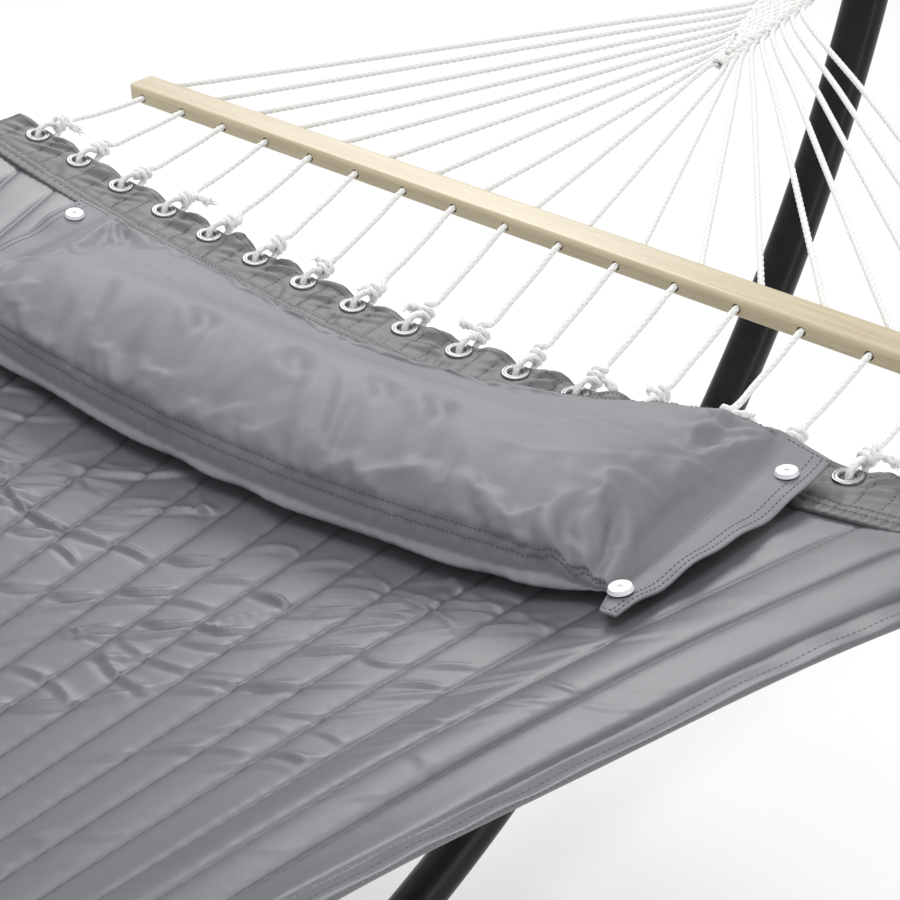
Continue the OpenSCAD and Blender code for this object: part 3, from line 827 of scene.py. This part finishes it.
def add_bed(mats):
    x = bed_stations()
    t = bed_columns()
    up, seam = quilt_heights(x, t, SEED)
    down, _ = quilt_heights(x, t, SEED + 1)
    band = SIDE_BAND / half_w(x)[:, None]
    v = t[None, :] * (1 - band)
    # side bands: four columns beyond the last seam, rolled over at the rim
    rim = np.array([0.25, 0.6, 0.86, 0.97, 1.0])
    left = -1 + band * (1 - rim[::-1][None, :])
    right = 1 - band * (1 - rim[None, :])
    v = np.concatenate([left, v, right], 1)
    level = np.sqrt(unit(1 - ((rim - 0.86) / 0.14).clip(0, 1) ** 2))
    thick = 2.6 * MM * level + 0.35 * MM
    wave = 0.7 * MM * np.sin(x[:, None] * 90 + 2 * np.sin(x[:, None] * 23)) * level[None, :]
    pad = np.ones((len(x), 1))
    up = np.concatenate([pad * thick[::-1] + wave[:, ::-1], SEAM_LEVEL + up, pad * thick + wave], 1)
    down = np.concatenate([pad * thick[::-1], SEAM_LEVEL + 0.85 * down, pad * thick], 1)
    none = np.zeros((len(x), len(rim)))
    # painted shade in the grooves of the seams, passed on to the quilt material
    seam = np.concatenate([none, seam, none], 1)
    xx = x[:, None] * np.ones_like(v)
    yy = v * half_w(x)[:, None]
    mid = bed_z(xx, yy) + swell(xx, yy)
    # the rim hangs in long shallow scallops
    sway = 3.0 * MM * np.sin(xx * 17 + 0.7) * smooth(0.85, 1.0, abs(v))
    top = np.stack([xx, yy, mid + up + sway], -1)
    bottom = np.stack([xx, yy, mid - down + sway], -1)
    verts, faces = slab(top, bottom)
    bed = add_mesh("quilted_bed", verts, faces.tolist(), mats["bed"], np.r_[seam.ravel(), seam.ravel()])
    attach(bed, "hammock")
    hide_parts("bed_top_cover", "bed_wadding", "bed_back_cover")
    normals = grid_normals(top)
    pile = Pile()
    first, cols = len(rim), v.shape[1]
    quilting = {"length": 3.4 * MM, "gap": 1.3 * MM, "width": 0.5 * MM, "rise": 0.2 * MM}
    for k in range(1, CHANNELS):
        j = first + k * CHANNEL_COLS
        stitch_run(pile, top[:, j], normals[:, j], **quilting)
    for j in (1, 3, first, cols - 1 - first, cols - 4, cols - 2):
        stitch_run(pile, top[:, j], normals[:, j], gap=1.1 * MM)
    threads = pile.piece("bed_stitching", mats["thread"])
    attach(threads, "hammock")


# ---- end hems

EYE_R = 8.2 * MM
# seams along the hem: place as a share of its width, and how wide each one looks
HEM_SEAMS = ((0.06, 0.022), (0.20, 0.022), (0.86, 0.018))
# the short cross seams lie this share of the pitch from each eyelet
CROSS_SEAM = 0.34
# upper half of an eyelet's section in mm: radius and height, from the rim to the throat
EYELET = [(12.0, 2.9), (11.9, 3.5), (11.2, 3.95), (9.8, 4.1), (9.4, 3.75), (9.0, 3.75), (8.5, 4.1)]
EYELET += [(7.4, 4.0), (6.3, 3.4), (5.8, 2.4)]

def hem_point(x, y, seeds):
    """Middle surface of the folded end hem: lobes between the ropes, flat at each eyelet."""
    e = (x - JOIN_X) / (HEM_X - JOIN_X)
    u = rope_at(y)
    nearest = np.round(u)
    c = u - nearest
    lobe = (1 - np.cos(TURN * c)) / 2
    gap = np.clip(np.floor(u).astype(int) + 1, 0, ROPE_N)
    size = seeds[gap, 0]
    far = np.hypot(x - GROMMET_X, y - rope_y(np.clip(nearest, 0, ROPE_N - 1)))
    free = smooth(11 * MM, 24 * MM, far)
    outer = smooth(0.35, 1.05, e)
    dz = outer * (lobe * 6.0 * MM * size - (1 - lobe) * 2.0 * MM)
    dx = outer * (lobe * 3.6 * MM * size - (1 - lobe) * 2.4 * MM)
    # loose creases that cross the band at a slant
    slant = y * 150 + 26 * e + 2.2 * np.sin(y * 43 + 5 * e)
    dz += 2.1 * MM * smooth(0.25, 0.6, e) * np.sin(slant) * np.sin(y * 31 + 1.7)
    # one or two soft pleats fan out from each eyelet across the lobe
    skew = (c - seeds[gap, 1]) * 9 + (e - 0.7) * seeds[gap, 2] * 5
    dz += 3.2 * MM * smooth(0.2, 0.75, e) * bell(skew) * seeds[gap, 3]
    skew = (c + seeds[gap, 2] * 0.3) * 11 - (e - 0.3) * 4
    dz -= 1.8 * MM * bell(skew) * smooth(0.0, 0.3, e) * (1 - smooth(0.6, 1, e))
    # the drawn-up cloth ripples beside the inner seams
    dz += 0.7 * MM * np.sin(y * TURN / 0.0085 + 2 * np.sin(y * 60)) * bell(e / 0.22)
    return x + dx * free, y, bed_z(HEM_X, y) + dz * free


def add_hem(end, mats):
    rng = np.random.default_rng(SEED + 20 + ENDS[end])
    # for each gap between ropes: size of its lobe, and place, lean and height of its pleat
    spans = ((0.05, 0.95), (-0.3, 0.3), (-1, 1), (0.3, 1))
    seeds = np.stack([rng.uniform(lo, hi, ROPE_N + 1) for lo, hi in spans], 1)
    x = np.linspace(JOIN_X - 6 * MM, HEM_X, 27)
    y = np.linspace(-END_Y, END_Y, 421)
    xx, yy = np.meshgrid(x, y, indexing="ij")
    mx, my, mz = hem_point(xx, yy, seeds)
    e = (xx - JOIN_X) / (HEM_X - JOIN_X)
    # the fold is thicker at the outer roll; it closes there and at both side edges
    roll = np.sqrt(np.clip(1 - smooth(0.90, 1.0, e) ** 2, 0.02, 1))
    sides = np.sqrt(np.clip(1 - smooth(0.985, 1.0, abs(yy) / END_Y) ** 2, 0.02, 1))
    half = (2.3 * MM + 0.9 * MM * smooth(0.75, 0.95, e)) * roll * sides
    # seams along the hem, and a pair of short cross seams beside each eyelet
    groove = sum(bell((e - at) / wide) for at, wide in HEM_SEAMS)
    u = rope_at(yy)
    c = abs(u - np.round(u))
    cross = bell((c - CROSS_SEAM) / 0.022) * (e > 0.2) * (e < 0.86)
    groove = unit(groove + cross)
    half = half - 0.9 * MM * groove * roll * sides
    top = np.stack([mx, my, mz + half], -1)
    bottom = np.stack([mx, my, mz - half], -1)
    cx = (xx[:-1, :-1] + xx[1:, 1:]) / 2
    cy = (yy[:-1, :-1] + yy[1:, 1:]) / 2
    u = np.clip(np.round(rope_at(cy)), 0, ROPE_N - 1)
    keep = np.hypot(cx - GROMMET_X, cy - rope_y(u)) > EYE_R
    verts, faces = slab(top, bottom, keep)
    # only points that a face uses: the holes leave some loose
    used = np.unique(faces)
    index = np.full(len(verts), -1)
    index[used] = np.arange(len(used))
    # the grooves of the seams also get painted shade
    shade = np.r_[groove.ravel(), groove.ravel()]
    hem = add_mesh(f"hem_band_{end}", verts[used], index[faces].tolist(), mats["hem"], shade[used])
    mirrored(hem, end)
    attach(hem, "hammock")
    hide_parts(f"hem_{end}")
    normals = grid_normals(top)
    pile = Pile()
    for at, _ in HEM_SEAMS:
        r = nearest_to(e[:, 0], at)
        stitch_run(pile, top[r], normals[r], rise=0.3 * MM)
    lo, hi = nearest_to(e[:, 0], 0.22), nearest_to(e[:, 0], 0.85)
    for i in range(ROPE_N):
        for side in (-CROSS_SEAM, CROSS_SEAM):
            j = nearest_to(y, rope_y(i) + side * PITCH)
            stitch_run(pile, top[lo:hi, j], normals[lo:hi, j], rise=0.3 * MM)
    threads = mirrored(pile.piece(f"hem_stitching_{end}", mats["thread_dark"]), end)
    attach(threads, "hammock")


def add_eyelets(end, mats):
    """Rolled metal eyelets: a domed flange on each side of the hem and a rounded throat for the rope."""
    profile = np.array(EYELET + [(r, -z) for r, z in reversed(EYELET)]) * MM
    sides = 36
    a = np.linspace(0, TURN, sides, endpoint=False)
    px, py = profile[:, :1] * np.cos(a), profile[:, :1] * np.sin(a)
    pz = profile[:, 1:] * np.ones(sides)
    # the last row of faces closes the section
    faces = grid_faces(len(profile) + 1, sides, around=True)[:, ::-1] % px.size
    pile = Pile()
    for i in range(ROPE_N):
        y = rope_y(i)
        z0, z1 = bed_z(HEM_X, y - PITCH / 2), bed_z(HEM_X, y + PITCH / 2)
        tilt = atan2(z1 - z0, PITCH)
        c, s = cos(tilt), sin(tilt)
        ring = [GROMMET_X + px, y + py * c - pz * s, (z0 + z1) / 2 + py * s + pz * c]
        pile.add(np.stack(ring, -1).reshape(-1, 3), faces)
    piece = mirrored(pile.piece(f"eyelets_{end}", mats["nickel"]), end)
    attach(piece, "hammock")
    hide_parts(f"grommets_{end}")


# ---- pillow

FLAP_W = 44 * MM
SKEW = 0.06
STUFFED_Y = PILLOW_HI.y - FLAP_W
PILLOW_X = (PILLOW_LO.x + PILLOW_HI.x) / 2
PILLOW_HALF = (PILLOW_HI.x - PILLOW_LO.x) / 2 - SKEW * PILLOW_HI.y
PILLOW_TALL = 60 * MM
FRONT_SEAM = 17 * MM
BACK_SEAM = 7 * MM
BED_TOP = 8 * MM
FLAP_RISE = 8 * MM
# two seams along the front and one along the back: place across, width and depth
LONG_SEAMS = ((-0.962, 0.016, 0.6), (-0.925, 0.016, 0.6), (0.955, 0.014, 1))
# rows of stitches across each flap, as shares of its width; the first one shows paler
FLAP_ROWS = (0.12, 0.7, 0.86)
SNAPS = ((-88 * MM, STUFFED_Y + 11 * MM), (88 * MM, STUFFED_Y + 27 * MM))


# a light cloth under pressure that may grow a little
CLOTH = {"use_pressure": True, "uniform_pressure_force": 4.0, "shrink_min": -0.04, "mass": 0.2, "quality": 6}
STIFFNESS = {"tension": 18, "compression": 18, "shear": 8, "bending": 0.25}
CLOTH_FRAMES = 20
CLOTH_REACH = 6 * MM
# size of the cover in mm that its folds are laid out on: front to back, and middle to one end
FOLD_W, FOLD_L = 230, 345


def inflate(name, verts, faces, pins):
    """Cloth simulation of a closed cover under inner pressure; returns where its points end up."""
    mesh = bpy.data.meshes.new(name)
    mesh.from_pydata(verts.tolist(), [], faces.tolist())
    body = put(name, mesh)
    group = body.vertex_groups.new(name="pins")
    for weight in np.unique(np.round(pins, 2)):
        if weight > 0:
            chosen = np.where(abs(pins - weight) < 0.006)[0].tolist()
            group.add(chosen, float(weight), "REPLACE")
    cloth = body.modifiers.new("cloth", "CLOTH")
    cloth.settings.vertex_group_mass = "pins"
    cloth.settings.effector_weights.gravity = 0
    for key, value in CLOTH.items():
        setattr(cloth.settings, key, value)
    for key, value in STIFFNESS.items():
        setattr(cloth.settings, f"{key}_stiffness", value)
    cloth.point_cache.frame_start, cloth.point_cache.frame_end = 1, CLOTH_FRAMES
    scene = bpy.context.scene
    for f in range(1, CLOTH_FRAMES + 1):
        scene.frame_set(f)
    found = body.evaluated_get(bpy.context.evaluated_depsgraph_get()).to_mesh()
    after = np.zeros(len(verts) * 3, np.float32)
    found.vertices.foreach_get("co", after)
    bpy.data.objects.remove(body)
    scene.frame_set(1)
    moved = after.reshape(-1, 3).astype(float) - verts
    far = np.linalg.norm(moved, axis=1)
    return verts + moved * np.minimum(1, CLOTH_REACH / np.maximum(far, 1e-9))[:, None]


def stuffing(w, v):
    """Height of the stuffed pillow as a share: w from its front to its back, v from end to end."""
    near = smooth(0.25, 0.8, -v)
    far = smooth(0.2, 0.9, v)
    ridge = 0.47 - 0.12 * far
    front = unit(w / ridge)
    rise = unit(1 - (1 - front) ** 2.3) ** 0.6
    back = unit((w - ridge) / (1 - ridge))
    keep = 0.30 + 0.28 * near + 0.05 * far
    fall = 1 - (1 - keep) * smooth(0, 0.72, back)
    edge = unit(1 - back ** (4 + 4 * near)) ** 0.6
    ends = unit(1 - abs(v) ** (4.5 + 3 * w + 3.5 * near)) ** 0.75
    return rise * fall * edge * ends * (1 + 0.05 * far)


def pillow_folds(w, v, rng):
    """Folds and creases of the pillow's cover, in mm: w from front to back, v from end to end."""
    made = np.zeros_like(w)

    def stroke(w0, v0, w1, v1, wide, deep):
        """A crease from one place to another, its width and height in mm."""
        a = np.array([w0 * FOLD_W, v0 * FOLD_L])
        d = np.array([(w1 - w0) * FOLD_W, (v1 - v0) * FOLD_L])
        px, py = w * FOLD_W - a[0], v * FOLD_L - a[1]
        long = np.hypot(*d)
        t = (px * d[0] + py * d[1]) / long**2
        bow = 0.10 * long * np.sin(np.pi * unit(t)) * rng.choice((-1, 1))
        off = (px * d[1] - py * d[0]) / long + bow
        fade = smooth(-0.12, 0.25, t) * (1 - smooth(0.6, 1.1, t))
        made[...] += deep * fade * (bell(off / wide) - 0.5 * bell((off - 1.9 * wide) / wide))

    # broad folds that climb the front from its seam to the ridge
    for k in range(19):
        v0 = -0.86 + 0.095 * k + rng.uniform(-0.03, 0.03)
        deep = rng.choice((-1, 1)) * rng.uniform(1.4, 3.8)
        w0, w1 = rng.uniform(0.0, 0.1), rng.uniform(0.25, 0.5)
        stroke(w0, v0, w1, v0 + rng.normal(0.04, 0.07), rng.uniform(6, 12), deep)
    # dents along the ridge
    for v0 in (0.33, 0.02, -0.2, -0.36):
        stroke(0.5, v0, 0.36, v0 - 0.09, rng.uniform(8, 12), -rng.uniform(4, 7))
    # fine creases that run along the back from the near end
    for _ in range(20):
        w0, v0 = rng.uniform(0.5, 0.95), rng.uniform(-0.96, -0.5)
        w1, v1 = w0 + rng.normal(-0.03, 0.04), v0 + rng.uniform(0.18, 0.5)
        stroke(w0, v0, w1, v1, rng.uniform(2.8, 4.5), rng.uniform(1.0, 2.0))
    # and shorter ones over the rest of the back
    for _ in range(22):
        w0, v0 = rng.uniform(0.62, 0.97), rng.uniform(-0.5, 0.9)
        w1, v1 = w0 + rng.normal(-0.05, 0.05), v0 + rng.uniform(-0.16, 0.16)
        stroke(w0, v0, w1, v1, rng.uniform(2.8, 5), rng.uniform(1.2, 2.4))
    # the deep gather at the near front corner, with a ridge beside it
    stroke(0.0, -0.95, 0.36, -0.93, 6, -9.0)
    stroke(0.02, -0.86, 0.30, -0.84, 8, 4.5)
    # creases that run in from the end seams
    for end in (-1, 1):
        for w0 in (0.2, 0.33, 0.46, 0.6, 0.72, 0.84):
            reach = rng.uniform(0.08, 0.22)
            w1 = w0 + rng.normal(0, 0.06)
            stroke(w0, end * 0.99, w1, end * (0.99 - reach), rng.uniform(3, 5.5), rng.uniform(1.2, 2.6))
    return made


def add_pillow(mats):
    rng = np.random.default_rng(SEED + 40)
    a = np.linspace(-1, 1, 61)
    u = 0.45 * a + 0.55 * np.sin(a * np.pi / 2)
    b = np.linspace(-1, 1, 161)
    v = (0.7 * b + 0.3 * np.sin(b * np.pi / 2)) * STUFFED_Y
    flap = STUFFED_Y + FLAP_W * np.array([0.12, 0.3, 0.5, 0.7, 0.86, 0.95, 1.0])
    y = np.r_[-flap[::-1], v, flap]
    uu, yy = np.meshgrid(u, y, indexing="ij")
    vv = np.clip(yy / STUFFED_Y, -1, 1)
    out = abs(vv)
    inside = 1 - smooth(0.86, 1.0, out)
    w = (uu + 1) / 2
    over = unit((abs(yy) - STUFFED_Y) / FLAP_W)
    # the cover is drawn in along the middle of its back and at its near front corner
    back_drawn = 26 * MM * bell((vv - 0.05) / 0.42) * (1 - vv**4)
    stuffed = 1 - smooth(0, 0.2, over)
    front_drawn = (4 + (11 + 11 * smooth(0.78, 0.98, -vv)) * stuffed) * MM
    half = PILLOW_HALF - abs(uu) ** 3 * (front_drawn * (1 - w) + back_drawn * w)
    reach = smooth(0.4, 1.0, -yy / STUFFED_Y) * (1 - over)
    xx = PILLOW_X + uu * half - SKEW * yy + 9 * MM * w**3 * reach
    yy = yy - np.sign(yy) * over * 26 * MM * (1 - w) ** 1.6
    pulled = 9 * MM * smooth(0.8, 1.0, out) * (1 - over) * np.sin(np.pi * w) ** 2 * (out < 1)
    yy = yy - np.sign(yy) * pulled
    share = stuffing(w, vv)
    ends = unit(1 - out**7) ** 0.5
    tall = PILLOW_TALL * share
    folds = pillow_folds(w, vv, rng) * MM * unit(share * 2.2)
    seam = (FRONT_SEAM * (1 - w) + BACK_SEAM * w) * inside
    level = bed_z(xx, yy) + BED_TOP + 0.5 * MM + FLAP_RISE * smooth(0.9, 1.0, out)
    snap = np.full_like(xx, 1.0)
    for dx, snap_y in SNAPS:
        snap = np.minimum(snap, np.hypot(xx - (PILLOW_X + dx - SKEW * yy), abs(yy) - snap_y))
    loose = 1 - bell(snap / (15 * MM))
    wave = 2.8 * MM * np.sin(xx * 48 + np.sign(yy) * 1.3) + 1.6 * MM * np.sin(xx * 118 + 2 * np.sign(yy))
    level = level + over * loose * (wave - 2.4 * MM) + 11 * MM * w**6 * reach * loose
    # the cover puckers along the front seam, and its lower panel bulges out below it
    pucker = np.sin(yy * 520 + 3 * np.sin(yy * 60)) * bell((uu + 0.97) / 0.04) * (over == 0)
    level = level + 0.9 * MM * pucker
    low = level + seam * abs(uu) ** 7
    high = low + 2.4 * MM + tall + seam * (1 - abs(uu) ** 7) * ends
    top = np.stack([xx, yy, high], -1)
    top += grid_normals(top) * folds[..., None]
    under = unit((uu + 1) / 0.16)
    slant = np.sin(yy * 62 + under * 2.2 + 1.5 * np.sin(yy * 23))
    bulge = (8 + 1.8 * slant) * MM * np.sin(np.pi * under**0.8) * inside
    bottom = np.stack([xx - bulge, yy, low], -1)
    verts, faces = slab(top, bottom)
    # the bottom is held still, and the top near its seams and ends
    hold = np.maximum(smooth(0.93, 1.0, abs(uu)) * 0.9, smooth(0.94, 1.0, out))
    pins = np.r_[unit(hold).ravel(), np.ones(xx.size)]
    verts = inflate("pillow_sim", verts, faces, pins)
    top = verts[: xx.size].reshape(*xx.shape, 3)
    # the cloth gathers at each stuffed corner and creases run in towards the middle
    for cu in (-1, 1):
        for cv in (-1, 1):
            dx = top[..., 0] - (PILLOW_X + cu * PILLOW_HALF - SKEW * cv * STUFFED_Y)
            dy = top[..., 1] - cv * STUFFED_Y
            r = np.hypot(dx, dy)
            angle = np.arctan2(abs(dy), abs(dx))
            fold = np.cos(angle * 13 + 1.3 * cu + cv) * bell((r - 34 * MM) / (28 * MM))
            top[..., 2] += 4.6 * MM * fold * (abs(top[..., 1]) < STUFFED_Y) * ends
    normals = grid_normals(top)
    groove = np.zeros_like(xx)
    for line, wide, deep in LONG_SEAMS:
        groove += deep * bell((uu - line) / wide) * (abs(yy) < STUFFED_Y)
    ends_seam = bell((abs(yy) - STUFFED_Y - 3 * MM) / (2.2 * MM))
    groove = unit(groove + ends_seam)
    top -= normals * groove[..., None] * 1.8 * MM
    verts[: xx.size] = top.reshape(-1, 3)
    # painted shade in the grooves of the seams
    shade = np.r_[groove.ravel(), np.zeros(xx.size)]
    cover = add_mesh("pillow_cover_sewn", verts, faces.tolist(), mats["pillow"], shade)
    sub = cover.modifiers.new("soften", "SUBSURF")
    sub.levels = sub.render_levels = 1
    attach(cover, "pillow")
    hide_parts("pillow_top_panel", "pillow_back_panel", "pillow_filling")
    stitch_pillow(top, u, y, mats)


def stitch_pillow(top, u, y, mats):
    """Stitches on the cover's upper grid of points, whose rows are at u and columns at y."""
    pile, pale = Pile(), Pile()
    normals = grid_normals(top)
    rise = 0.45 * MM
    inner = abs(y) < STUFFED_Y
    for at, _, _ in LONG_SEAMS:
        r = nearest_to(u, at)
        stitch_run(pile, top[r, inner], normals[r, inner], rise=2 * rise)
    for side in (-1, 1):
        for far in FLAP_ROWS:
            j = nearest_to(y, side * (STUFFED_Y + FLAP_W * far))
            stitch_run(pale if far == FLAP_ROWS[0] else pile, top[2:-2, j], normals[2:-2, j], rise=rise)
        flap = side * y > STUFFED_Y
        for r in (2, -3):
            stitch_run(pile, top[r, flap], normals[r, flap], rise=rise)
    for name, runs, thread in (("pillow_stitching", pile, "dark"), ("pillow_end_stitching", pale, "pale")):
        threads = runs.piece(name, mats[f"thread_{thread}"])
        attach(threads, "pillow")


# ---- what the CAD parts are made of


def both(*stems):
    """Names of the parts that each end has."""
    return [f"{stem}_{end}" for stem in stems for end in ENDS]


def dress_cad(mats):
    """Gives every CAD part that stays in view its material."""
    wear = {
        "paint": ["beam_sleeve", *both("beam", "cross_foot", "lower_arm", "upper_arm")],
        "rubber": both("boots"),
        "plug": ["arm_plugs"],
        "zinc": [f"{where}_{what}" for where in ("beam", "foot", "arm") for what in ("bolts", "nuts")]
        + ["eye_nuts", "eye_washers", *both("eye_bolt", "s_hook", "ring")],
        "wood": both("spreader_bar"),
        "snap": ["snap_caps", "snap_sockets", "snap_studs"],
    }
    for key, names in wear.items():
        for name in names:
            slots = NODES[name].data.materials
            slots.clear()
            slots.append(mats[key])


mats = {
    "bed": fabric("quilt_polyester", (0.117, 0.122, 0.133)),
    "hem": fabric("hem_polyester", (0.070, 0.072, 0.075), rough=(0.45, 0.58)),
    "pillow": fabric("pillow_polyester", (0.205, 0.208, 0.224), rough=(0.52, 0.62), shine=0.6),
    "thread": thread_material("grey_thread", (0.15, 0.155, 0.165)),
    "thread_pale": thread_material("pale_thread", (0.36, 0.365, 0.38)),
    "thread_dark": thread_material("dark_thread", (0.055, 0.056, 0.06)),
    "rope": rope_material(),
    "wood": wood_material(),
    "paint": paint_material(),
    "zinc": metal_material("zinc_plate", (0.62, 0.63, 0.65), 0.34),
    "nickel": metal_material("nickel_plate", (0.34, 0.34, 0.335), 0.36),
    "rubber": plastic_material("boot_rubber", (0.02, 0.02, 0.021), 0.78, grain=420, depth=0.3),
    "plug": plastic_material("plug_plastic", (0.02, 0.02, 0.022), 0.45),
    "snap": plastic_material("snap_plastic", (0.80, 0.81, 0.84), 0.28),
}
add_camera()
add_light()
add_floor()
dress_cad(mats)
add_bed(mats)
for end in ENDS:
    add_hem(end, mats)
    add_eyelets(end, mats)
    add_ropes(end, mats)
    add_clew(end, mats)
add_pillow(mats)
